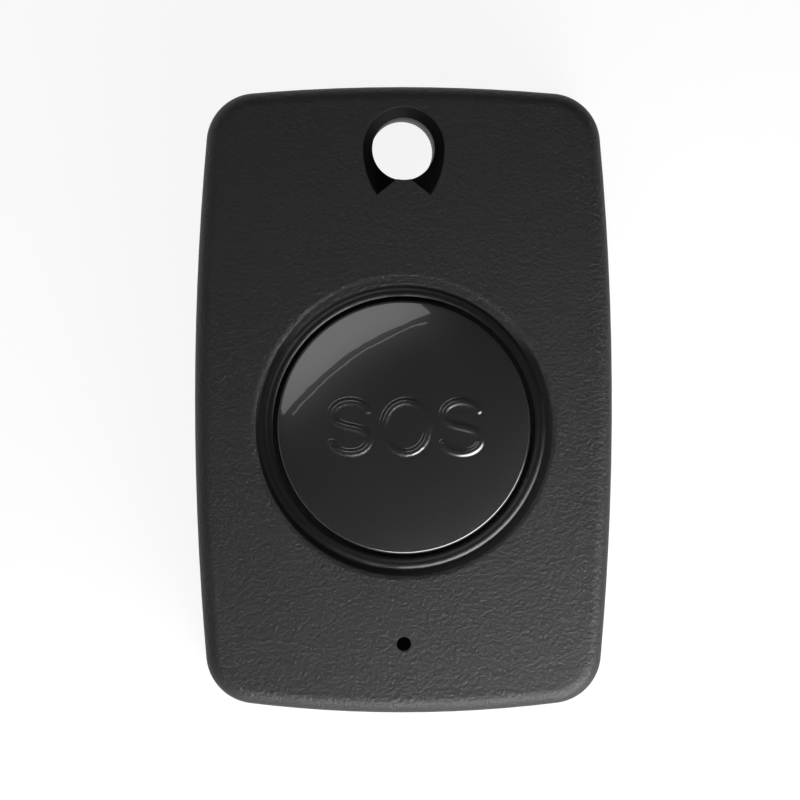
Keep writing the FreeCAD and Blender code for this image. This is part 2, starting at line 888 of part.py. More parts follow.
def loop_antenna():
    """A stamped strip that stands on the board on two legs, across the keyring end."""
    high = board_high + antenna_height
    span = antenna_half_span
    loop = strip(
        -antenna_thickness, antenna_width,
        Vec(-span - antenna_foot, 0, board_high + antenna_thickness),
        Vec(-span, 0, board_high + antenna_thickness),
        Vec(-span, 0, high),
        Vec(span, 0, high),
        Vec(span, 0, board_high + antenna_thickness),
        Vec(span + antenna_foot, 0, board_high + antenna_thickness),
    )
    return moved(loop, 0, antenna_y)


def chip_row(name, size, y):
    """A row of like chips under the board, numbered from the left."""
    chip = under_board(end_capped_chip(*size))
    return {
        f"{name}_{number + 1}": moved(chip, (number - (row_count - 1) / 2) * row_pitch, y)
        for number in range(row_count)
    }


def board_parts():
    controller = under_board(gull_wing_chip(*controller_size, controller_pins_a_side))
    parts = {
        "controller_chip": moved(controller, 0, controller_y),
        "transmitter_chip": moved(under_board(flat_chip(*transmitter_size)), -far_chip_spacing, far_chip_y),
        "crystal": moved(under_board(flat_chip(*crystal_size)), far_chip_spacing, far_chip_y),
        "indicator_led": indicator_led(),
        "loop_antenna": loop_antenna(),
        "battery_clip": battery_clip(),
        "battery_contact": battery_contact(),
        "switch_base": switch_base(),
        "switch_plate": switch_plate_part(),
        "switch_dome": switch_snap_dome(),
        "switch_plunger": switch_plunger(),
    }
    terminal = switch_terminal()
    number = 0
    for turn in (0, 180):
        for step in (-1, 1):
            number += 1
            parts[f"switch_terminal_{number}"] = moved(
                terminal, 0, button_y + step * terminal_spacing / 2, 0, turn
            )
    parts.update(chip_row("capacitor", capacitor_size, capacitor_y))
    parts.update(chip_row("resistor", resistor_size, resistor_y))
    return parts


def main():
    os.makedirs("parts", exist_ok=True)
    form = body_form()
    nodes = {
        "front_cover": front_cover(form),
        "rear_cover": rear_cover(form),
        "housing_seal": housing_seal(),
        "button_cap": button_cap(),
        "button_membrane": button_membrane(),
        "circuit_board": circuit_board(),
        "coin_cell": coin_cell(),
        "light_pipe": light_pipe(),
    }
    nodes.update(board_parts())
    housing_screw = screw(screw_head_radius, screw_head_height, screw_shank_radius, screw_length)
    for number, (x, y) in enumerate(screw_places, 1):
        nodes[f"housing_screw_{number}"] = moved(housing_screw, x, y, screw_seat)
    board_screw = screw(board_screw_head, board_screw_head_height, board_screw_shank, board_screw_length)
    for number, (x, y) in enumerate(board_screw_places, 1):
        nodes[f"board_screw_{number}"] = moved(board_screw, x, y, board_low)
    for name, shape in nodes.items():
        shape.exportStep(f"parts/{name}.step")
        print(name, shape.isValid(), len(shape.Solids), round(shape.Volume, 2))


main()
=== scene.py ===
import json
import math
from functools import partial

import bmesh
import bpy
import numpy as np
from bpy.props import FloatProperty, FloatVectorProperty, IntProperty, PointerProperty
from mathutils import Matrix, Vector
from mathutils.geometry import delaunay_2d_cdt


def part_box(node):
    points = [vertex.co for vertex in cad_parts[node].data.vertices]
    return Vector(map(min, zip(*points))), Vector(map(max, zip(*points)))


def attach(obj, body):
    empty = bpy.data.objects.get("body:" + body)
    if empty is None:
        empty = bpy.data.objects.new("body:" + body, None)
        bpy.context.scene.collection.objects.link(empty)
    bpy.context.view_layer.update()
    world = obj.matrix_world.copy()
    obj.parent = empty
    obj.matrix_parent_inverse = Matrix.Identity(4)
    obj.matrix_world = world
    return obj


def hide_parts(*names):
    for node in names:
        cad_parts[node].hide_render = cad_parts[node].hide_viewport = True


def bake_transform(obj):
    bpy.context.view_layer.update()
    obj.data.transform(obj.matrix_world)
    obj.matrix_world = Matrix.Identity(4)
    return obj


bl_info = {
    "name": "Keyring panic button",
    "version": (1, 0, 0),
    "blender": (4, 5, 0),
    "location": "View3D > Sidebar > Panic button",
    "description": "Finishes and fine shapes of a keyring panic button, with its studio",
    "category": "Object",
}

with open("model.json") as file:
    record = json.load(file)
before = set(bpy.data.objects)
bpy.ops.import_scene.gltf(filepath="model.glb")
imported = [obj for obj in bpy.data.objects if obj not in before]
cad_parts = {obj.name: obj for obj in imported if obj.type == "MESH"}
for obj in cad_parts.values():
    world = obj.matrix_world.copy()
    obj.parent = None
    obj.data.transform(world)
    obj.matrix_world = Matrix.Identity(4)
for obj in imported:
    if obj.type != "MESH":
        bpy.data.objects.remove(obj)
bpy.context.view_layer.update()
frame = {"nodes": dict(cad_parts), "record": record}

MM = 0.001
button_low, button_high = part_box("button_cap")
button_axis = ((button_low + button_high) / 2).xy
keyring_axis = Vector(frame["record"]["mounts"][0]["pos_m"]).xy


def linear(code):
    """The linear red, green and blue of an sRGB hex colour."""
    parts = [int(code[place:place + 2], 16) / 255 for place in (1, 3, 5)]
    return tuple(c / 12.92 if c <= 0.04045 else ((c + 0.055) / 1.055) ** 2.4 for c in parts)


def length(name, description, millimetres):
    """A length property in metres, with its default given in millimetres."""
    return FloatProperty(
        name=name, description=description, default=millimetres * MM, min=0.0,
        precision=6, unit="LENGTH", subtype="DISTANCE",
    )


def colour(name, description, code):
    """A colour property with its default given as sRGB hex."""
    return FloatVectorProperty(
        name=name, description=description, default=linear(code), min=0.0, max=1.0, subtype="COLOR",
    )


def amount(name, description, value, low=0.0):
    """A plain number property."""
    return FloatProperty(name=name, description=description, default=value, min=low)


def angle(name, description, degrees):
    """An angle property, with its default given in degrees."""
    return FloatProperty(name=name, description=description, default=math.radians(degrees), subtype="ANGLE")


def direction(name, description, *millimetres):
    """A property of three parts in metres, with its default given in millimetres."""
    return FloatVectorProperty(
        name=name, description=description, default=[part * MM for part in millimetres],
        subtype="TRANSLATION", unit="LENGTH", precision=6,
    )


class CoverSettings(bpy.types.PropertyGroup):
    shade: colour("Pigment", "Black pigment of the moulded covers", "#191919")
    # painted shade: a darker pigment where the mould is polished, standing in for the shade in the well, on
    # the bead and in the scoop
    polished: colour("Polished pigment", "The same pigment where the mould was polished", "#080808")
    front_radius: length("Front radius", "Radius of the large sphere that the front is part of", 800)
    front_centre: direction(
        "Front centre", "Middle of the sphere that the front is part of", 0, -19.8, 12.6 - 800,
    )
    grain: length("Grain spacing", "Distance between the bumps of the eroded texture", 0.37)
    grain_height: length("Grain height", "Height of the eroded texture", 0.125)
    edge_round: length("Edge round", "Radius that the moulding leaves on every edge", 0.12)
    roughness: amount("Roughness", "Roughness of the eroded texture", 0.56)
    well_roughness: amount("Well roughness", "Roughness of the polished well", 0.34)
    polish_end: length("Polish end", "Depth below the front where no polish reaches", 5)
    bead_reach: length("Bead reach", "Radius of the polished bead and valley round the button", 13.8)
    lip_reach: length("Lip reach", "Radius of the well's polished slope", 15)
    lip_depth: length("Lip depth", "Depth below the front where the well's polish starts", 0.16)
    scoop_reach: length("Scoop reach", "Radius of the polished keyring scoop", 4.95)
    scoop_depth: length("Scoop depth", "Depth below the front where the scoop's polish starts", 0.02)
    scoop_shift: length("Scoop shift", "Distance of the scoop's polish from the keyring hole's middle", 0.6)


class CapSettings(bpy.types.PropertyGroup):
    shade: colour("Pigment", "Black pigment of the button cap", "#262626")
    radius: length("Radius", "Radius of the round cap", 12.15)
    rise: length("Rise", "Height of the domed top above its edge", 1.05)
    shoulder: amount("Shoulder", "Power of the dome's fall toward its edge", 2.6, low=2.0)
    edge_round: length("Edge round", "Width of the rolled edge", 0.25)
    letter_height: length("Letter height", "Height of a letter's middle line", 4.92)
    letter_width: length("Letter width", "Width of an outer letter's middle line", 3.65)
    round_width: length("Round letter width", "Width of the middle letter's middle line", 4.3)
    letter_pitch: length("Letter pitch", "Distance between the middles of two letters", 5.32)
    letter_side: length("Letter side shift", "Distance of the letters right of the cap's middle", 0.17)
    letter_shift: length("Letter shift", "Distance of the letters above the cap's middle", 0.0)
    stroke_top: length("Stroke top", "Half of the width of a stroke's flat top", 0.04)
    stroke_foot: length("Stroke foot", "Half of the width of a stroke at its foot", 0.5)
    stroke_rise: length("Stroke rise", "Height of a stroke above the dome", 0.14)
    fine_step: length("Fine step", "Distance between points near the letters", 0.065)
    coarse_step: length("Coarse step", "Distance between points elsewhere on the dome", 0.45)
    turns: IntProperty(name="Segments", description="Segments round the cap", default=288, min=24)


class ScrewSettings(bpy.types.PropertyGroup):
    shade: colour("Plating", "Colour of the black zinc plating", "#57585b")
    recess_span: amount("Recess span", "Span of the cross recess as a share of the head", 0.62)
    recess_arm: amount("Recess arm", "Width of the recess's arms as a share of the head", 0.16)
    recess_depth: amount("Recess depth", "Depth of the recess as a share of the head's height", 0.7)
    thread_pitch: length("Thread pitch", "Rise of the thread in one turn", 0.8)
    thread_depth: length("Thread depth", "Depth of the thread", 0.22)
    turns: IntProperty(name="Segments", description="Segments round a screw", default=48, min=12)


class InsideSettings(bpy.types.PropertyGroup):
    board: colour("Solder mask", "Colour of the board's solder mask", "#14532d")
    laminate: colour("Laminate", "Colour of the board's bare edge", "#b9a86c")
    silicone: colour("Silicone", "Colour of the silicone boot", "#8e9093")
    seal: colour("Seal", "Colour of the silicone cord", "#2b2b2b")
    epoxy: colour("Epoxy", "Colour of the chips' moulding compound", "#1d1d1d")
    ceramic: colour("Capacitor ceramic", "Colour of the capacitors' ceramic", "#b08b62")
    alumina: colour("Resistor glass", "Colour of the resistors' black glass", "#2a2c31")
    can: colour("Crystal ceramic", "Colour of the crystal's ceramic base", "#6d5f50")
    nylon: colour("Nylon", "Colour of the switch's base", "#2a2a2a")
    plunger: colour("Plunger", "Colour of the switch's plunger", "#c7c2b4")
    tin: colour("Tin", "Colour of tinned ends and legs", "#c9cacc")
    steel: colour("Stainless steel", "Colour of the stamped steel parts", "#b9babb")
    bronze: colour("Bronze", "Colour of the tinned bronze spring", "#c6b898")
    nickel: colour("Nickel", "Colour of the nickel-plated cell and can", "#c4bfb6")
    brass: colour("Brass", "Colour of the antenna's gilt brass", "#d3b061")
    smoke: colour("Smoked plastic", "Tint of the light pipe", "#1b1b1b")
    lens: colour("Diode lens", "Colour of the indicator diode's lens", "#e3dcbc")
    row_pitch: length("Row pitch", "Distance between two chips of a row", 2.6)
    end_cap: length("End cap", "Length of a chip's tinned end", 0.3)


class StageSettings(bpy.types.PropertyGroup):
    distance: length("Camera distance", "Distance of the camera from the front", 618)
    frame_width: length("Frame width", "Width that the picture covers at the button", 76.45)
    camera_left: length("Camera offset", "Distance of the camera left of the middle", 13)
    floor: colour("Floor", "Colour of the plain floor", "#ececec")
    camera_aim: direction(
        "Camera aim", "Place that the camera looks at, from the middle of the front", -0.385, -0.06, -0.5,
    )
    lamp_height: length("Lamp height", "Distance of the softbox, strip and fill from the button", 600)
    softbox_edge: angle("Softbox edge", "Angle from the camera's line to the softbox's near edge", 16)
    softbox_turn: angle("Softbox turn", "Direction of the softbox round the camera's line", 124)
    softbox_deep: length("Softbox depth", "Depth of the softbox", 200)
    softbox_wide: length("Softbox width", "Width of the softbox", 420)
    softbox_glow: amount("Softbox brightness", "Brightness of the softbox, where 1 is white", 1.95)
    strip_edge: angle("Strip angle", "Angle from the camera's line to the thin strip lamp", 14.3)
    strip_deep: length("Strip depth", "Depth of the strip lamp", 4)
    strip_wide: length("Strip width", "Width of the strip lamp", 360)
    strip_glow: amount("Strip brightness", "Brightness of the strip lamp, where 1 is white", 1.8)
    side_turn: angle("Side light turn", "Direction of the side light round the camera's line", -60)
    side_rise: angle("Side light rise", "Angle of the side light above the front", 27)
    side_reach: length("Side light distance", "Distance of the side light from the button", 92)
    side_wide: length("Side light width", "Width of the side light", 140)
    side_tall: length("Side light height", "Height of the side light", 40)
    side_aim: direction("Side light aim", "Direction that the side light shines in", -350, 600, -720)
    side_glow: amount("Side light brightness", "Brightness of the side light, where 1 is white", 5.1)
    side_spread: angle("Side light spread", "Angle of the beam that its grid lets through", 100)
    fill_rise: angle("Fill light rise", "Angle of the low fill light above the front", 24)
    fill_wide: length("Fill light width", "Width of the fill light", 700)
    fill_tall: length("Fill light height", "Height of the fill light", 160)
    fill_glow: amount("Fill light brightness", "Brightness of the fill light, where 1 is white", 0.3)
    room_top: colour("Room overhead", "Colour of the dim room above the object", "#121212")
    room_far: colour("Dim wall", "Colour of the room's dim wall", "#202020")
    room_near: colour("Bright wall", "Colour of the room's bright wall", "#e6e6e6")


class PanicButtonSettings(bpy.types.PropertyGroup):
    covers: PointerProperty(type=CoverSettings)
    cap: PointerProperty(type=CapSettings)
    screws: PointerProperty(type=ScrewSettings)
    inside: PointerProperty(type=InsideSettings)
    stage: PointerProperty(type=StageSettings)


def add_node(tree, kind, inputs=None, links=None, out=0, **settings):
    """Adds a shader node with settings, inputs and links. Returns one output, or all of them for None."""
    made = tree.nodes.new(kind)
    for name, value in settings.items():
        setattr(made, name, value)
    for socket, value in (inputs or {}).items():
        made.inputs[socket].default_value = value
    for socket, source in (links or {}).items():
        tree.links.new(source, made.inputs[socket])
    return made.outputs if out is None else made.outputs[out]


def new_material(name):
    """An empty material, the function that adds its nodes, and what its geometry node gives."""
    material = bpy.data.materials.new(name)
    material.use_nodes = True
    material.node_tree.nodes.clear()
    add = partial(add_node, material.node_tree)
    return material, add, add("ShaderNodeNewGeometry", out=None)


def finish_material(material, add, values, links):
    """Ends a material with its shader and its output."""
    shader = add("ShaderNodeBsdfPrincipled", values, links)
    add("ShaderNodeOutputMaterial", links={"Surface": shader}, out=None)
    return material


def opaque(shade):
    """A shade with full opacity."""
    return (*shade, 1.0)


def two_shades(shade, dark, pale):
    """The two colours that a mix drifts between, as shares of one shade."""
    return {6: opaque([c * dark for c in shade]), 7: opaque([c * pale for c in shade])}


def off_axis(add, place, axis):
    """The distance of a place from an upright axis."""
    off = add("ShaderNodeVectorMath", {1: (axis.x, axis.y, 0)}, {0: place}, operation="SUBTRACT")
    off = add("ShaderNodeVectorMath", {1: (1, 1, 0)}, {0: off}, operation="MULTIPLY")
    return add("ShaderNodeVectorMath", links={0: off}, out="Value", operation="LENGTH")


def eroded_abs(cover):
    """Black ABS from a spark-eroded mould: a fine dull grain, with a polished well and scoop that take a
    darker pigment as painted shade.
    """
    material, add, geometry = new_material("abs_spark_eroded_black")
    place = geometry["Position"]
    # depth below the crowned front, which is part of one large sphere
    away = add("ShaderNodeVectorMath", {1: cover.front_centre}, {0: place}, operation="SUBTRACT")
    away = add("ShaderNodeVectorMath", links={0: away}, out="Value", operation="LENGTH")
    depth = add("ShaderNodeMath", {0: cover.front_radius}, {1: away}, operation="SUBTRACT")
    # only the front is polished there, not the back behind it
    front = add(
        "ShaderNodeMapRange", {"From Min": cover.polish_end + 0.5 * MM, "From Max": cover.polish_end},
        {"Value": depth},
    )
    scoop_middle = keyring_axis - Vector((0, cover.scoop_shift))
    masks = []
    for axis, reach, shallow in (
        # the bead is polished up to its top, above the front
        (button_axis, cover.bead_reach, -1 * MM),
        (button_axis, cover.lip_reach, cover.lip_depth),
        (scoop_middle, cover.scoop_reach, cover.scoop_depth),
    ):
        sunk = add(
            "ShaderNodeMapRange", {"From Min": shallow, "From Max": shallow + 0.06 * MM}, {"Value": depth},
        )
        inside = add(
            "ShaderNodeMapRange", {"From Min": reach, "From Max": reach - 0.3 * MM},
            {"Value": off_axis(add, place, axis)},
        )
        inside = add("ShaderNodeMath", links={0: inside, 1: front}, operation="MULTIPLY")
        masks.append(add("ShaderNodeMath", links={0: sunk, 1: inside}, operation="MULTIPLY"))
    bead, lip, scoop = masks
    well = add("ShaderNodeMath", links={0: bead, 1: lip}, operation="MAXIMUM")
    # the polished places get a smoother grain, and the darker pigment that paints shade into them
    polished = add("ShaderNodeMath", links={0: well, 1: scoop}, operation="MAXIMUM")
    # the scoop reflects less than the rest of the front: painted shade in the scoop
    shine_with_painted_shade = add("ShaderNodeMapRange", {"To Min": 0.5, "To Max": 0.1}, {"Value": scoop})
    grain = add(
        "ShaderNodeTexNoise",
        {"Scale": 1 / cover.grain, "Detail": 3.0, "Roughness": 0.6, "Distortion": 0.3}, {"Vector": place},
    )
    height = add("ShaderNodeMapRange", {"To Min": 1.0, "To Max": 0.06}, {"Value": polished})
    height = add("ShaderNodeMath", links={0: height, 1: grain}, operation="MULTIPLY")
    # no moulded edge is quite sharp, so each catches a thin line of light
    soft = add("ShaderNodeBevel", {"Radius": cover.edge_round}, samples=4)
    bump = add(
        "ShaderNodeBump", {"Strength": 1.0, "Distance": cover.grain_height},
        {"Height": height, "Normal": soft},
    )
    dull = add(
        "ShaderNodeMapRange", {"To Min": cover.roughness, "To Max": cover.well_roughness}, {"Value": well},
    )
    cloud = add("ShaderNodeTexNoise", {"Scale": 60.0, "Detail": 2.0}, {"Vector": place})
    shade = add("ShaderNodeMix", two_shades(cover.shade, 0.93, 1.07), {0: cloud}, out=2, data_type="RGBA")
    # painted shade: the polished well, bead and scoop take the darker pigment, standing in for the shade
    # that falls there
    shade = add(
        "ShaderNodeMix", {7: opaque(cover.polished)}, {0: polished, 6: shade}, out=2, data_type="RGBA",
    )
    return finish_material(
        material, add, {"IOR": 1.53},
        {"Base Color": shade, "Roughness": dull, "Normal": bump, "Specular IOR Level": shine_with_painted_shade},
    )


def lacquered_abs(cap):
    """Black ABS under clear lacquer: a deep wet gloss with the faint waves of moulding."""
    material, add, geometry = new_material("abs_lacquered_black")
    wave, film = (
        add("ShaderNodeTexNoise", {"Scale": scale, "Detail": detail}, {"Vector": geometry["Position"]})
        for scale, detail in ((480.0, 1.5), (150.0, 3.0))
    )
    bump = add("ShaderNodeBump", {"Strength": 1.0, "Distance": 0.004 * MM}, {"Height": wave})
    dull = add("ShaderNodeMapRange", {"To Min": 0.2, "To Max": 0.3}, {"Value": film})
    return finish_material(
        material, add,
        {"Base Color": opaque(cap.shade), "IOR": 1.53, "Coat Weight": 1.0, "Coat Roughness": 0.02,
         "Coat IOR": 1.5},
        {"Roughness": dull, "Normal": bump, "Coat Normal": bump},
    )


def clouded(name, shade, cloud, fleck, lift, values, tints=None, dull=None):
    """A material whose colour and gloss drift with a cloud and whose surface is lifted by a finer fleck."""
    material, add, geometry = new_material(name)
    cloud, fleck = (
        add("ShaderNodeTexNoise", {"Scale": scale, "Detail": detail}, {"Vector": geometry["Position"]})
        for scale, detail in (cloud, fleck)
    )
    links = {"Normal": add("ShaderNodeBump", {"Distance": lift * MM}, {"Height": fleck})}
    if tints:
        links["Base Color"] = add(
            "ShaderNodeMix", two_shades(shade, *tints), {0: cloud}, out=2, data_type="RGBA",
        )
    else:
        values = {**values, "Base Color": opaque(shade)}
    if dull:
        glossy, matt = dull
        links["Roughness"] = add("ShaderNodeMapRange", {"To Min": glossy, "To Max": matt}, {"Value": cloud})
    return finish_material(material, add, values, links)


def moulded_silicone(name, shade):
    """Press-moulded silicone: a soft dull sheen with a faint cloudiness."""
    return clouded(
        name, shade, (400.0, 3.0), (5000.0, 2.0), 0.01,
        {"IOR": 1.41, "Roughness": 0.48, "Sheen Weight": 0.15, "Sheen Roughness": 0.5}, tints=(0.85, 1.1),
    )


def moulded_nylon(name, shade):
    """Filled plastic from a small plain mould: an even satin with faint flow clouds."""
    return clouded(
        name, shade, (900.0, 2.0), (7000.0, 2.0), 0.004, {"IOR": 1.53}, tints=(0.9, 1.08),
        dull=(0.32, 0.48),
    )


def smoked_polycarbonate(shade):
    """Smoked polycarbonate, turned and clear: looks black until the diode behind it lights."""
    haze = (3000.0, 2.0)
    return clouded(
        "polycarbonate_smoked_clear", shade, haze, haze, 0.002, {"IOR": 1.585, "Transmission Weight": 0.6},
        dull=(0.08, 0.22),
    )


def zinc_plated_steel(shade):
    """Cold-headed steel with black zinc plating: a dark satin metal, cloudy from the bath."""
    bath = (1800.0, 4.0)
    return clouded(
        "steel_black_zinc_plated", shade, bath, bath, 0.004, {"Metallic": 1.0}, tints=(0.8, 1.15),
        dull=(0.26, 0.46),
    )


def sheet_metal(name, shade, roughness, streak):
    """Rolled or plated metal: bright, with fine streaks along one direction of the sheet."""
    material, add, geometry = new_material(name)
    # streaks 0.05 mm apart, drawn out to many times that along the rolling direction
    stretched = add(
        "ShaderNodeVectorMath", {1: [20000.0 / s for s in streak]}, {0: geometry["Position"]},
        operation="MULTIPLY",
    )
    line = add("ShaderNodeTexNoise", {"Scale": 1.0, "Detail": 2.0}, {"Vector": stretched})
    bump = add("ShaderNodeBump", {"Distance": 0.003 * MM}, {"Height": line})
    dull = add(
        "ShaderNodeMapRange", {"To Min": roughness * 0.8, "To Max": roughness * 1.3}, {"Value": line},
    )
    return finish_material(
        material, add, {"Base Color": opaque(shade), "Metallic": 1.0}, {"Roughness": dull, "Normal": bump},
    )


def board_laminate(shade, core):
    """Glass-epoxy laminate under a green solder mask: traces show as paler lines, the edge as bare epoxy."""
    material, add, geometry = new_material("glass_epoxy_solder_mask")
    flat = add("ShaderNodeVectorMath", {1: (1, 1, 0)}, {0: geometry["Position"]}, operation="MULTIPLY")
    # traces 0.3 mm wide on a grid of 1.3 mm by 2.6 mm
    dark, dim, bright = (opaque([c * part for c in shade]) for part in (0.75, 0.85, 1.5))
    trace = add(
        "ShaderNodeTexBrick",
        {"Scale": 1000.0, "Mortar Size": 0.15, "Brick Width": 2.6, "Row Height": 1.3, "Color1": dark,
         "Color2": dim, "Mortar": bright},
        {"Vector": flat},
    )
    weave = add(
        "ShaderNodeTexChecker", {"Scale": 2500.0, "Color1": (1, 1, 1, 1), "Color2": (0.88, 0.88, 0.88, 1)},
        {"Vector": flat},
    )
    face = add(
        "ShaderNodeMix", {0: 1.0}, {6: trace, 7: weave}, out=2, data_type="RGBA", blend_type="MULTIPLY",
    )
    up = add("ShaderNodeSeparateXYZ", links={0: geometry["Normal"]}, out="Z")
    up = add("ShaderNodeMath", links={0: up}, operation="ABSOLUTE")
    base = add("ShaderNodeMix", {6: opaque(core)}, {0: up, 7: face}, out=2, data_type="RGBA")
    dull = add("ShaderNodeMapRange", {"To Min": 0.7, "To Max": 0.25}, {"Value": up})
    return finish_material(material, add, {"IOR": 1.55}, {"Base Color": base, "Roughness": dull})


def nickel_steel_cell(nickel, nylon, axis, lid_radius):
    """Nickel-plated deep-drawn steel: soft round brushing, and a dark nylon ring round the lid."""
    material, add, geometry = new_material("nickel_plated_drawn_steel")
    place = geometry["Position"]
    off = off_axis(add, place, axis)
    inner, outer = lid_radius - 0.35 * MM, lid_radius + 0.02 * MM
    past = add("ShaderNodeMath", {1: inner}, {0: off}, operation="GREATER_THAN")
    short = add("ShaderNodeMath", {1: outer}, {0: off}, operation="LESS_THAN")
    ring = add("ShaderNodeMath", links={0: past, 1: short}, operation="MULTIPLY")
    centred = add("ShaderNodeVectorMath", {1: (axis.x, axis.y, 0)}, {0: place}, operation="SUBTRACT")
    # rings 0.1 mm apart, left by the drawing die
    brushed = add(
        "ShaderNodeTexWave", {"Scale": 3000.0, "Distortion": 1.5, "Detail": 2.0}, {"Vector": centred},
        out="Fac", wave_type="RINGS", rings_direction="Z",
    )
    dull = add("ShaderNodeMapRange", {"To Min": 0.2, "To Max": 0.34}, {"Value": brushed})
    bump = add("ShaderNodeBump", {"Distance": 0.002 * MM}, {"Height": brushed})
    base = add(
        "ShaderNodeMix", {6: opaque(nickel), 7: opaque(nylon)}, {0: ring}, out=2, data_type="RGBA",
    )
    metal = add("ShaderNodeMath", {0: 1.0}, {1: ring}, operation="SUBTRACT")
    return finish_material(
        material, add, {}, {"Base Color": base, "Metallic": metal, "Roughness": dull, "Normal": bump},
    )


def two_part(name, body, ends, roughness, axis, middle, reach, pitch=0.0):
    """A body with metal ends or legs, which lie farther than reach from the middle along an axis.

    With a pitch, there is such a middle at each pitch.
    """
    material, add, geometry = new_material(name)
    off = add("ShaderNodeSeparateXYZ", links={0: geometry["Position"]}, out=axis)
    off = add("ShaderNodeMath", {1: middle}, {0: off}, operation="SUBTRACT")
    if pitch:
        off = add("ShaderNodeMath", {1: pitch / 2}, {0: off}, operation="PINGPONG")
    else:
        off = add("ShaderNodeMath", links={0: off}, operation="ABSOLUTE")
    end = add("ShaderNodeMath", {1: reach}, {0: off}, operation="GREATER_THAN")
    speck = add("ShaderNodeTexNoise", {"Scale": 9000.0, "Detail": 3.0}, {"Vector": geometry["Position"]})
    grain = add("ShaderNodeMix", two_shades(body, 0.8, 1.15), {0: speck}, out=2, data_type="RGBA")
    base = add("ShaderNodeMix", {7: opaque(ends)}, {0: end, 6: grain}, out=2, data_type="RGBA")
    dull = add("ShaderNodeMapRange", {"To Min": roughness, "To Max": 0.3}, {"Value": end})
    bump = add("ShaderNodeBump", {"Distance": 0.004 * MM}, {"Height": speck})
    return finish_material(
        material, add, {}, {"Base Color": base, "Metallic": end, "Roughness": dull, "Normal": bump},
    )


def paint(names, material):
    """Gives CAD nodes one material."""
    for name in names:
        data = frame["nodes"][name].data
        data.materials.clear()
        data.materials.append(material)


def add_object(name, data):
    """Puts an object in the scene."""
    made = bpy.data.objects.new(name, data)
    bpy.context.scene.collection.objects.link(made)
    return made


def bend_node(name, material):
    """Puts a copy of a CAD node's mesh, with a material, in the node's place, and hides the node."""
    data = frame["nodes"][name].data.copy()
    data.materials.clear()
    data.materials.append(material)
    piece = add_object(f"{name}_bending", data)
    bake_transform(piece)
    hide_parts(name)


def new_piece(name, points, faces, material):
    """A smooth-shaded mesh object with sharp edges where the faces turn by more than 35 degrees."""
    mesh = bpy.data.meshes.new(name)
    mesh.from_pydata([tuple(p) for p in points], [], faces)
    mesh.materials.append(material)
    mesh.shade_smooth()
    mesh.set_sharp_from_angle(angle=math.radians(35))
    return add_object(name, mesh)


def letter_lines(cap):
    """Middle lines of the three raised letters, as arrays of points round the cap's axis."""
    tall = cap.letter_height / 2
    wide = cap.letter_width / 2
    bowl = tall / 2
    # the upper bowl is narrower than the lower one, and the spine between them leans
    upper_wide, lean = wide * 0.94, 0.35 * bowl
    count = 25

    def arc(x, y, across, along, first, last):
        turn = np.radians(np.linspace(first, last, count))
        return np.stack([x + across * np.cos(turn), y + along * np.sin(turn)], 1)

    share = np.linspace(0, 1, count)[:, None]
    corners = [np.array(p) for p in (
        (-upper_wide, bowl), (-upper_wide, -lean), (wide, lean), (wide, -bowl),
    )]
    spine = (
        (1 - share) ** 3 * corners[0] + 3 * (1 - share) ** 2 * share * corners[1]
        + 3 * (1 - share) * share ** 2 * corners[2] + share ** 3 * corners[3]
    )
    curl = np.concatenate([
        arc(0, bowl, upper_wide, bowl, 18, 180), spine, arc(0, -bowl, wide, bowl, 0, -165),
    ])
    ring = arc(0, 0, cap.round_width / 2, tall, 0, 360)
    ring = np.concatenate([ring, ring[:2]])
    shift = np.array([cap.letter_side, cap.letter_shift])
    side = np.array([cap.letter_pitch, 0])
    return [curl - side + shift, ring + shift, curl + side + shift]


def line_distance(points, lines):
    """Distance of each point from the nearest line."""
    near = np.full(len(points), 1.0)
    for line in lines:
        for start, end in zip(line[:-1], line[1:]):
            run = end - start
            share = np.clip((points - start) @ run / max(run @ run, 1e-18), 0, 1)
            gap = points - start - share[:, None] * run
            near = np.minimum(near, np.hypot(gap[:, 0], gap[:, 1]))
    return near


def dome_level(points, cap, lines):
    """Height of the cap's top above its edge, with the raised letters."""
    radius = np.hypot(points[:, 0], points[:, 1])
    dome = cap.rise * (1 - (radius / cap.radius) ** cap.shoulder)
    share = (cap.stroke_foot - line_distance(points, lines)) / (cap.stroke_foot - cap.stroke_top)
    share = np.clip(share, 0, 1)
    return dome + cap.stroke_rise * share * share * (3 - 2 * share)


def dome_points(cap, lines):
    """Points of the dome: fine near the letters, coarse elsewhere, and a ring at its edge."""
    edge = cap.radius - cap.edge_round

    def grid(step):
        count = int(edge / step) + 2
        steps = np.arange(-count, count + 1)
        x, y = np.meshgrid(steps * step, steps * step * math.sqrt(0.75))
        x = x + step / 2 * (steps % 2)[:, None]
        return np.stack([x.ravel(), y.ravel()], 1)

    fine = grid(cap.fine_step)
    fine = fine[(abs(fine[:, 1]) < cap.letter_height) & (abs(fine[:, 0]) < 2 * cap.letter_pitch)]
    fine = fine[line_distance(fine, lines) < cap.stroke_foot + 2 * cap.fine_step]
    coarse = grid(cap.coarse_step)
    coarse = coarse[np.hypot(coarse[:, 0], coarse[:, 1]) < edge - cap.coarse_step / 2]
    coarse = coarse[line_distance(coarse, lines) > cap.stroke_foot + cap.coarse_step / 2]
    turn = np.arange(cap.turns) * 2 * math.pi / cap.turns
    ring = np.stack([np.cos(turn), np.sin(turn)], 1) * edge
    return np.concatenate([ring, fine, coarse])


def dome_normals(flat, cap, lines):
    """Exact normals of the dome and its letters at points round the cap's axis."""
    step = 0.005 * MM
    slopes = []
    for axis in ((step, 0), (0, step)):
        rise = dome_level(flat + axis, cap, lines) - dome_level(flat - np.array(axis), cap, lines)
        slopes.append(-rise / (2 * step))
    normals = np.stack([slopes[0], slopes[1], np.ones(len(flat))], 1)
    return normals / np.linalg.norm(normals, axis=1)[:, None]


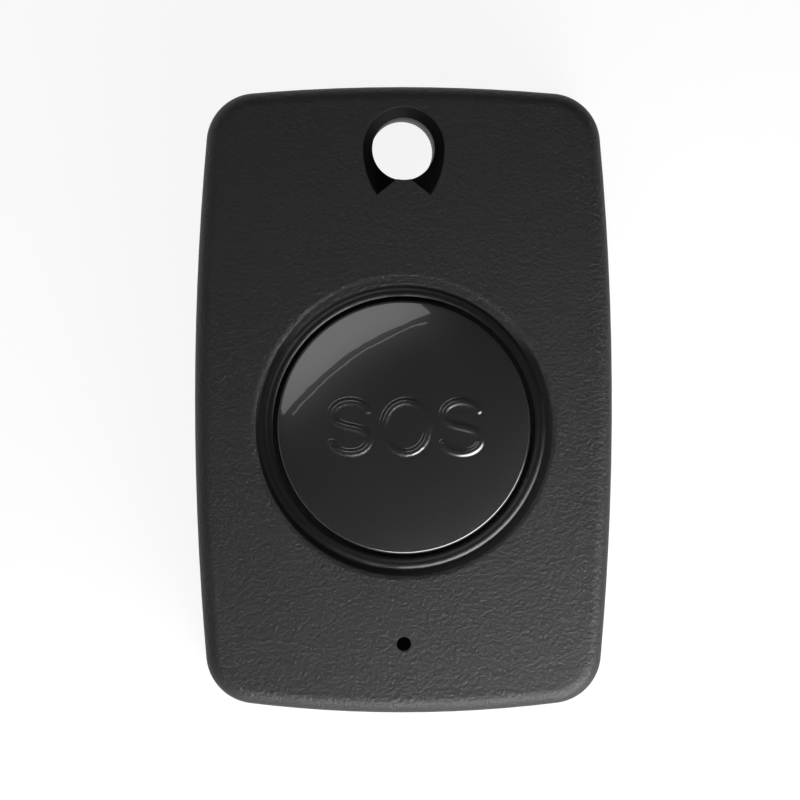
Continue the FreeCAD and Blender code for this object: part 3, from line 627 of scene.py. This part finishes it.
def cap_top(cap, lines):
    """Points and faces of the cap's domed top, ring first."""
    made = delaunay_2d_cdt([Vector(p / MM) for p in dome_points(cap, lines)], [], [], 0, 1e-5)
    flat = np.array(made[0]) * MM
    points = np.column_stack([flat, dome_level(flat, cap, lines)])
    return points, [tuple(face) for face in made[2]]


def cap_side(cap, start, foot):
    """Profile of the rolled edge and the side, from the dome's edge down to a level."""
    edge = cap.radius - cap.edge_round
    tilt = math.atan(cap.rise * cap.shoulder / cap.radius * (edge / cap.radius) ** (cap.shoulder - 1))
    roll = cap.edge_round / (1 - math.sin(tilt))
    steps = 12
    profile = []
    for number in range(steps + 1):
        turn = tilt + (math.pi / 2 - tilt) * number / steps
        radius = edge + roll * (math.sin(turn) - math.sin(tilt))
        profile.append((radius, start + roll * (math.cos(turn) - math.cos(tilt))))
    return profile + [(cap.radius, foot)]


def turned(profile, turns, first):
    """Points and faces of a profile of (radius, level) swept round the upright axis."""
    points = []
    for radius, level in profile:
        for number in range(turns):
            turn = 2 * math.pi * number / turns
            points.append((radius * math.cos(turn), radius * math.sin(turn), level))
    faces = []
    for row in range(len(profile) - 1):
        for number in range(turns):
            after = (number + 1) % turns
            here, below = first + row * turns, first + (row + 1) * turns
            faces.append((here + number, below + number, below + after, here + after))
    return points, faces


def cap_underside(cap, flange_top):
    """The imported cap's mesh without its domed top and its outer side."""
    mesh = bmesh.new()
    mesh.from_mesh(frame["nodes"]["button_cap"].data)
    outer = []
    for face in mesh.faces:
        middle = face.calc_center_median()
        off = middle.xy - button_axis
        on_side = off.length > cap.radius - 0.15 * MM and face.normal.xy.dot(off.normalized()) > 0.5
        if middle.z > flange_top + 0.01 * MM and (face.normal.z > 0.3 or on_side):
            outer.append(face)
    bmesh.ops.delete(mesh, geom=outer, context="FACES")
    return mesh


def close_foot(mesh, cap, flange_top):
    """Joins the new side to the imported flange, whose circle has another number of steps."""
    def at_foot(corner):
        off = (corner.co.xy - button_axis).length - cap.radius
        return abs(corner.co.z - flange_top) < 0.002 * MM and abs(off) < 0.01 * MM

    foot = [edge for edge in mesh.edges if edge.is_boundary and all(map(at_foot, edge.verts))]
    bmesh.ops.bridge_loops(mesh, edges=foot)


def set_dome_normals(data, cap, lines, start):
    """Gives the dome, whose vertices come after start, the exact normals of its shape."""
    flat = np.array([v.co.xy for v in data.vertices]) - np.array(button_axis)
    normals = dome_normals(flat, cap, lines)
    on_dome = np.hypot(flat[:, 0], flat[:, 1]) < cap.radius - cap.edge_round + 0.001 * MM
    on_dome[:start] = False
    corner_normals = [(0, 0, 0)] * len(data.loops)
    for face in data.polygons:
        if face.normal.z < 0.5:
            continue
        for corner in face.loop_indices:
            vertex = data.loops[corner].vertex_index
            if on_dome[vertex]:
                corner_normals[corner] = tuple(normals[vertex])
    data.normals_split_custom_set(corner_normals)


class BuildCap(bpy.types.Operator):
    """Makes the button cap with its domed top, rolled edge and raised letters"""

    bl_idname = "panic_button.build_cap"
    bl_label = "Button cap"

    def execute(self, context):
        cap = context.scene.panic_button.cap
        corners = frame["nodes"]["button_cap"].data.vertices
        flange_top = max(v.co.z for v in corners if (v.co.xy - button_axis).length > cap.radius + 0.1 * MM)
        edge_level = button_high.z - cap.rise
        lines = letter_lines(cap)
        points, faces = cap_top(cap, lines)
        profile = cap_side(cap, points[0][2], flange_top - edge_level)
        side_points, side_faces = turned(profile, cap.turns, len(points))
        place = np.array([*button_axis, edge_level])
        mesh = cap_underside(cap, flange_top)
        start = len(mesh.verts)
        made = [mesh.verts.new(place + p) for p in np.concatenate([points, side_points])]
        for face in faces + side_faces:
            mesh.faces.new([made[n] for n in face])
        bmesh.ops.remove_doubles(mesh, verts=made, dist=0.0005 * MM)
        close_foot(mesh, cap, flange_top)
        data = bpy.data.meshes.new("button_cap_moulding")
        mesh.to_mesh(data)
        mesh.free()
        data.materials.append(lacquered_abs(cap))
        data.shade_smooth()
        data.set_sharp_from_angle(angle=math.radians(35))
        piece = add_object("button_cap_moulding", data)
        set_dome_normals(data, cap, lines, start)
        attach(piece, "cap")
        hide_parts("button_cap")
        return {"FINISHED"}


class FinishCovers(bpy.types.Operator):
    """Gives both covers their moulded finish"""

    bl_idname = "panic_button.finish_covers"
    bl_label = "Covers"

    def execute(self, context):
        paint(["front_cover", "rear_cover"], eroded_abs(context.scene.panic_button.covers))
        return {"FINISHED"}


def screw_rows(settings, low, high, seat, head_radius, shank_radius):
    """Levels of a screw's lattice and, for each, a function from turn to radius."""
    tall = seat - low
    # the shares of the head's radius and height that its flat face and its crown take
    flat, crown = 0.62, 0.62
    rows = [(low, lambda turn: 0.0)]
    for share in (0.15, 0.5, flat):
        rows.append((low, lambda turn, share=share: head_radius * share))
    steps = 7
    for number in range(1, steps + 1):
        bend = math.pi / 2 * number / steps
        radius = head_radius * (flat + (1 - flat) * math.sin(bend))
        rows.append((low + crown * tall * (1 - math.cos(bend)), lambda turn, radius=radius: radius))
    rows.append((seat, lambda turn: head_radius))
    # the thread fades in past the head and out before the blunt point
    start, tip = seat + settings.thread_pitch * 0.4, high - 0.6 * MM
    root = shank_radius - settings.thread_depth
    flank = 0.28  # of a pitch

    def thread(level, turn):
        along = (level - start) / settings.thread_pitch - turn / (2 * math.pi)
        off = abs(along - round(along))
        fade = min(1.0, max(0.0, (level - start) / settings.thread_pitch))
        fade *= min(1.0, max(0.0, (high - 0.1 * MM - level) / settings.thread_pitch))
        point = min(1.0, 0.3 + 0.7 * (high - level) / (high - tip))
        return point * root + settings.thread_depth * fade * max(0.0, 1 - off / flank)

    count = int((high - seat) / settings.thread_pitch * 12)
    for number in range(count + 1):
        level = seat + (high - seat) * number / count
        rows.append((level, lambda turn, level=level: thread(level, turn)))
    rows.append((high, lambda turn: 0.0))
    return rows


def lattice(rows, turns, axis):
    """Points and faces of rows of (level, radius by turn) round an upright axis, closed at both ends."""
    points = [(axis.x, axis.y, rows[0][0])]
    for level, radius in rows[1:-1]:
        for number in range(turns):
            turn = 2 * math.pi * number / turns
            points.append((
                axis.x + radius(turn) * math.cos(turn), axis.y + radius(turn) * math.sin(turn), level,
            ))
    points.append((axis.x, axis.y, rows[-1][0]))
    last = len(points) - 1
    faces = []
    for number in range(turns):
        after = (number + 1) % turns
        faces.append((0, 1 + after, 1 + number))
        for row in range(len(rows) - 3):
            here, above = 1 + row * turns, 1 + (row + 1) * turns
            faces.append((here + number, here + after, above + after, above + number))
        end = last - turns
        faces.append((last, end + number, end + after))
    return points, faces


def recess_arm(name, axis, low, span, width, depth, turn):
    """A tapered bar that cuts one arm pair of a cross recess into a head whose face is at low."""
    spin = Matrix.Rotation(turn, 3, "Z")
    points = []
    for level, long, wide in ((low - depth * 0.2, 1.08, 1.06), (low + depth, 0.42, 0.6)):
        for x, y in ((-1, -1), (1, -1), (1, 1), (-1, 1)):
            corner = spin @ Vector((x * span * long / 2, y * width * wide / 2, 0))
            points.append((axis.x + corner.x, axis.y + corner.y, level))
    faces = [(3, 2, 1, 0), (4, 5, 6, 7), (0, 1, 5, 4), (1, 2, 6, 5), (2, 3, 7, 6), (3, 0, 4, 7)]
    mesh = bpy.data.meshes.new(name)
    mesh.from_pydata(points, [], faces)
    return add_object(name, mesh)


class BuildScrews(bpy.types.Operator):
    """Makes the housing and board screws with rounded heads, cross recesses and threads"""

    bl_idname = "panic_button.build_screws"
    bl_label = "Screws"

    def execute(self, context):
        settings = context.scene.panic_button.screws
        material = zinc_plated_steel(settings.shade)
        # the screws stop at whatever turn the driver left them
        turns = (12, 57, 33, 80, 21, 66)
        names = [name for name in sorted(frame["nodes"]) if "_screw_" in name]
        for name, turn in zip(names, turns):
            self.add_screw(name, settings, material, math.radians(turn))
        return {"FINISHED"}

    def add_screw(self, name, settings, material, turn):
        low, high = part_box(name)
        axis = ((low + high) / 2).xy
        head_radius = (high.y - low.y) / 2
        data = frame["nodes"][name].data
        # the head's underside, and the shank's radius past it
        seat = min(
            v.co.z for v in data.vertices
            if (v.co.xy - axis).length < head_radius * 0.6 and v.co.z > low.z + 0.2 * MM
        )
        shank_radius = max((v.co.xy - axis).length for v in data.vertices if v.co.z > seat + 0.3 * MM)
        rows = screw_rows(settings, low.z, high.z, seat, head_radius, shank_radius)
        points, faces = lattice(rows, settings.turns, axis)
        piece = new_piece(f"{name}_cross_head", points, faces, material)
        depth = (seat - low.z) * settings.recess_depth
        cutters = [
            recess_arm(
                f"{name}_recess_{number}", axis, low.z, head_radius * 2 * settings.recess_span,
                head_radius * 2 * settings.recess_arm, depth, turn + number * math.pi / 2,
            )
            for number in range(2)
        ]
        for cutter in cutters:
            cut = piece.modifiers.new(cutter.name, "BOOLEAN")
            cut.operation, cut.solver, cut.object = "DIFFERENCE", "EXACT", cutter
        seen = piece.evaluated_get(bpy.context.evaluated_depsgraph_get())
        cut_mesh = bpy.data.meshes.new_from_object(seen)
        piece.modifiers.clear()
        piece.data = cut_mesh
        cut_mesh.shade_smooth()
        cut_mesh.set_sharp_from_angle(angle=math.radians(38))
        for cutter in cutters:
            bpy.data.objects.remove(cutter)
        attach(piece, "housing")
        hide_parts(name)


class FinishSilicone(bpy.types.Operator):
    """Gives the button's boot and the housing seal their silicone"""

    bl_idname = "panic_button.finish_silicone"
    bl_label = "Silicone boot and seal"

    def execute(self, context):
        inside = context.scene.panic_button.inside
        # the platform is squeezed between the cap and the plunger, which goes half as far; the copy keeps
        # its resting shape
        bend_node(
            "button_membrane", moulded_silicone("silicone_grey_moulded", inside.silicone),
        )
        paint(["housing_seal"], moulded_silicone("silicone_black_cord", inside.seal))
        return {"FINISHED"}


class FinishBoard(bpy.types.Operator):
    """Gives the circuit board its solder mask and bare edge"""

    bl_idname = "panic_button.finish_board"
    bl_label = "Circuit board"

    def execute(self, context):
        inside = context.scene.panic_button.inside
        paint(["circuit_board"], board_laminate(inside.board, inside.laminate))
        return {"FINISHED"}


class FinishCell(bpy.types.Operator):
    """Gives the coin cell its plated can and nylon ring"""

    bl_idname = "panic_button.finish_cell"
    bl_label = "Coin cell"

    def execute(self, context):
        inside = context.scene.panic_button.inside
        low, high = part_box("coin_cell")
        axis = ((low + high) / 2).xy
        top = [v.co for v in frame["nodes"]["coin_cell"].data.vertices if v.co.z > high.z - 0.01 * MM]
        lid_radius = max((co.xy - axis).length for co in top)
        paint(["coin_cell"], nickel_steel_cell(inside.nickel, inside.nylon, axis, lid_radius))
        return {"FINISHED"}


class FinishStampings(bpy.types.Operator):
    """Gives the clip, contact, antenna and switch's sheet parts their metals"""

    bl_idname = "panic_button.finish_stampings"
    bl_label = "Stamped metal"

    def execute(self, context):
        inside = context.scene.panic_button.inside
        along_x, along_y = (40.0, 1.0, 1.0), (1.0, 40.0, 1.0)
        paint(["battery_clip"], sheet_metal("stainless_steel_rolled", inside.steel, 0.28, along_x))
        paint(["battery_contact"], sheet_metal("tinned_bronze_rolled", inside.bronze, 0.25, along_x))
        paint(["loop_antenna"], sheet_metal("gilt_brass_stamped", inside.brass, 0.2, along_x))
        bright = sheet_metal("stainless_steel_bright_rolled", inside.steel, 0.2, along_y)
        paint(["switch_plate"], bright)
        # the plunger flattens the snap dome, whose rim stays put; the copy keeps its resting shape
        bend_node("switch_dome", bright)
        legs = [name for name in frame["nodes"] if name.startswith("switch_terminal_")]
        paint(legs, sheet_metal("tinned_bronze_stamped", inside.tin, 0.25, along_x))
        return {"FINISHED"}


class FinishChips(bpy.types.Operator):
    """Gives the chips, the crystal, the capacitors and the resistors their bodies and tinned ends"""

    bl_idname = "panic_button.finish_chips"
    bl_label = "Chips and crystal"

    def execute(self, context):
        inside = context.scene.panic_button.inside
        leg_length, pad_height, lid_height = 1.0 * MM, 0.2 * MM, 0.25 * MM
        low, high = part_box("controller_chip")
        middle = (low + high) / 2
        body_half = (high.y - low.y) / 2 - leg_length
        paint(["controller_chip"], two_part(
            "epoxy_moulded_tinned_legs", inside.epoxy, inside.tin, 0.5, "Y", middle.y, body_half,
        ))
        low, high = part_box("transmitter_chip")
        paint(["transmitter_chip"], two_part(
            "epoxy_moulded_tinned_pads", inside.epoxy, inside.tin, 0.5, "Z", low.z,
            (high.z - low.z) - pad_height,
        ))
        low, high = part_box("crystal")
        paint(["crystal"], two_part(
            "ceramic_pack_nickel_lid", inside.can, inside.nickel, 0.5, "Z", high.z,
            (high.z - low.z) - lid_height,
        ))
        for kind, name, shade in (
            ("capacitor", "ceramic_pressed_tinned_ends", inside.ceramic),
            ("resistor", "alumina_glazed_tinned_ends", inside.alumina),
        ):
            low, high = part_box(f"{kind}_1")
            middle, half = (low.x + high.x) / 2, (high.x - low.x) / 2
            nodes = [node for node in frame["nodes"] if node.startswith(kind)]
            paint(nodes, two_part(
                name, shade, inside.tin, 0.4, "X", middle, half - inside.end_cap, inside.row_pitch,
            ))
        return {"FINISHED"}


class FinishSwitch(bpy.types.Operator):
    """Gives the push switch's base and plunger their nylon"""

    bl_idname = "panic_button.finish_switch"
    bl_label = "Push switch"

    def execute(self, context):
        inside = context.scene.panic_button.inside
        paint(["switch_base"], moulded_nylon("nylon_black_moulded", inside.nylon))
        paint(["switch_plunger"], moulded_nylon("nylon_natural_moulded", inside.plunger))
        return {"FINISHED"}


class FinishIndicator(bpy.types.Operator):
    """Gives the light pipe its smoked plastic and the diode its lens"""

    bl_idname = "panic_button.finish_indicator"
    bl_label = "Indicator"

    def execute(self, context):
        inside = context.scene.panic_button.inside
        paint(["light_pipe"], smoked_polycarbonate(inside.smoke))
        paint(["indicator_led"], moulded_nylon("epoxy_cast_lens", inside.lens))
        return {"FINISHED"}


class BuildStage(bpy.types.Operator):
    """Makes the floor, the lamps, the room's light and the camera"""

    bl_idname = "panic_button.build_stage"
    bl_label = "Stage"

    def execute(self, context):
        stage = context.scene.panic_button.stage
        self.add_floor(stage)
        self.add_lamps(stage)
        self.add_room(context.scene, stage)
        self.add_camera(context.scene, stage)
        context.scene.view_settings.view_transform = "Standard"
        return {"FINISHED"}

    def add_floor(self, stage):
        material, add, geometry = new_material("floor_matt_paper")
        matt = add("ShaderNodeBsdfPrincipled", {"Base Color": opaque(stage.floor), "Roughness": 0.9})
        white = add("ShaderNodeEmission", {"Color": (1, 1, 1, 1), "Strength": 1.05})
        # the eye and mirrors see nearly white paper, which lights the object as grey paper does
        rays = add("ShaderNodeLightPath", out=None)
        seen = rays["Is Camera Ray"]
        for kind in ("Is Glossy Ray", "Is Transmission Ray"):
            seen = add("ShaderNodeMath", links={0: seen, 1: rays[kind]}, operation="MAXIMUM")
        share = add("ShaderNodeMath", {1: 0.85}, {0: seen}, operation="MULTIPLY")
        mixed = add("ShaderNodeMixShader", links={0: share, 1: matt, 2: white})
        # the sheet is one-sided, so the object's back can be looked at from below
        clear = add("ShaderNodeBsdfTransparent")
        mixed = add("ShaderNodeMixShader", links={0: geometry["Backfacing"], 1: mixed, 2: clear})
        add("ShaderNodeOutputMaterial", links={"Surface": mixed}, out=None)
        reach, level = 3, -0.02 * MM
        corners = [(x * reach, y * reach, level) for x, y in ((-1, -1), (1, -1), (1, 1), (-1, 1))]
        floor = new_piece("floor", corners, [(0, 1, 2, 3)], material)

    def add_lamp(self, name, place, target, size, glow):
        lamp = bpy.data.lights.new(name, "AREA")
        lamp.shape = "RECTANGLE"
        lamp.size, lamp.size_y = size
        lamp.energy = glow * size[0] * size[1] * math.pi
        piece = add_object(name, lamp)
        piece.location = place
        piece.rotation_mode = "QUATERNION"
        piece.rotation_quaternion = (target - place).to_track_quat("-Z", "Y")
        piece.visible_camera = False
        return piece

    def add_lamps(self, stage):
        top = Vector((button_axis.x, button_axis.y, button_high.z))
        up = Vector((0, 0, 1))
        around = Vector((math.cos(stage.softbox_turn), math.sin(stage.softbox_turn), 0))
        # the softbox lies flat above the object, its near edge square to its direction, and a thin strip
        # beside it draws the fine line inside its reflection
        near = stage.lamp_height * math.tan(stage.softbox_edge) + stage.softbox_deep / 2
        strip = stage.lamp_height * math.tan(stage.strip_edge)
        for name, reach, size, glow in (
            ("softbox", near, (stage.softbox_deep, stage.softbox_wide), stage.softbox_glow),
            ("strip_lamp", strip, (stage.strip_deep, stage.strip_wide), stage.strip_glow),
        ):
            place = top + up * stage.lamp_height + around * reach
            lamp = self.add_lamp(name, place, place - up, size, glow)
            lamp.rotation_mode = "XYZ"
            lamp.rotation_euler = (0, 0, stage.softbox_turn)
        # the side light's grid keeps its beam on the indicator end, so the keyring end stays darker
        side = Vector((math.cos(stage.side_turn), math.sin(stage.side_turn), 0)) * math.cos(stage.side_rise)
        place = top + (side + up * math.sin(stage.side_rise)) * stage.side_reach
        size = (stage.side_wide, stage.side_tall)
        lamp = self.add_lamp("side_light", place, place + Vector(stage.side_aim), size, stage.side_glow)
        lamp.data.spread = stage.side_spread
        # a low fill behind the softbox lights what faces the upper left: the well's lip and the letters
        side = around * math.cos(stage.fill_rise) + up * math.sin(stage.fill_rise)
        size = (stage.fill_wide, stage.fill_tall)
        self.add_lamp("fill_light", top + side * stage.lamp_height, top, size, stage.fill_glow)

    def add_room(self, scene, stage):
        world = bpy.data.worlds.new("room")
        world.use_nodes = True
        world.node_tree.nodes.clear()
        add = partial(add_node, world.node_tree)
        toward = add("ShaderNodeTexCoord", out="Generated")
        height = add("ShaderNodeSeparateXYZ", links={0: toward}, out="Z")
        # the bright wall is to the lower left, the dim one to the upper right
        side = add(
            "ShaderNodeVectorMath", {1: (-0.8, -0.6, 0)}, {0: toward}, out="Value", operation="DOT_PRODUCT",
        )
        side = add("ShaderNodeMapRange", {"From Min": -1.0}, {"Value": side})
        wall = add(
            "ShaderNodeMix", {6: opaque(stage.room_far), 7: opaque(stage.room_near)}, {0: side}, out=2,
            data_type="RGBA",
        )
        share = add(
            "ShaderNodeMapRange", {"From Min": 0.1, "From Max": 0.8}, {"Value": height},
            interpolation_type="SMOOTHSTEP",
        )
        shade = add(
            "ShaderNodeMix", {7: opaque(stage.room_top)}, {0: share, 6: wall}, out=2, data_type="RGBA",
        )
        back = add("ShaderNodeBackground", {"Strength": 1.0}, {"Color": shade})
        add("ShaderNodeOutputWorld", links={"Surface": back}, out=None)
        scene.world = world

    def add_camera(self, scene, stage):
        data = bpy.data.cameras.new("camera")
        data.sensor_width = 36.0
        data.lens = data.sensor_width * stage.distance / stage.frame_width
        data.clip_start, data.clip_end = 0.01, 10.0
        camera = add_object("camera", data)
        target = Vector((0, 0, button_high.z)) + Vector(stage.camera_aim)
        camera.location = target + Vector((-stage.camera_left, 0, stage.distance))
        camera.rotation_mode = "QUATERNION"
        back = (camera.location - target).normalized()
        right = Vector((0, 1, 0)).cross(back).normalized()
        turn = Matrix((right, back.cross(right), back)).transposed()
        camera.rotation_quaternion = turn.to_quaternion()
        scene.camera = camera


class PanicButtonPanel(bpy.types.Panel):
    """Lists the steps that make the panic button"""

    bl_idname = "VIEW3D_PT_panic_button"
    bl_label = "Panic button"
    bl_space_type = "VIEW_3D"
    bl_region_type = "UI"
    bl_category = "Panic button"

    def draw(self, context):
        for step in STEPS:
            self.layout.operator(step.bl_idname)


SETTINGS = (
    CoverSettings, CapSettings, ScrewSettings, InsideSettings, StageSettings, PanicButtonSettings,
)
STEPS = (
    FinishCovers, BuildCap, BuildScrews, FinishSilicone, FinishBoard, FinishCell, FinishStampings,
    FinishChips, FinishSwitch, FinishIndicator, BuildStage,
)


def register():
    for made in SETTINGS + STEPS + (PanicButtonPanel,):
        bpy.utils.register_class(made)
    bpy.types.Scene.panic_button = PointerProperty(type=PanicButtonSettings)


def unregister():
    del bpy.types.Scene.panic_button
    for made in reversed(SETTINGS + STEPS + (PanicButtonPanel,)):
        bpy.utils.unregister_class(made)


def main():
    register()
    bpy.ops.panic_button.finish_covers()
    bpy.ops.panic_button.build_cap()
    bpy.ops.panic_button.build_screws()
    bpy.ops.panic_button.finish_silicone()
    bpy.ops.panic_button.finish_board()
    bpy.ops.panic_button.finish_cell()
    bpy.ops.panic_button.finish_stampings()
    bpy.ops.panic_button.finish_chips()
    bpy.ops.panic_button.finish_switch()
    bpy.ops.panic_button.finish_indicator()
    bpy.ops.panic_button.build_stage()


if __name__ == "__main__":
    main()
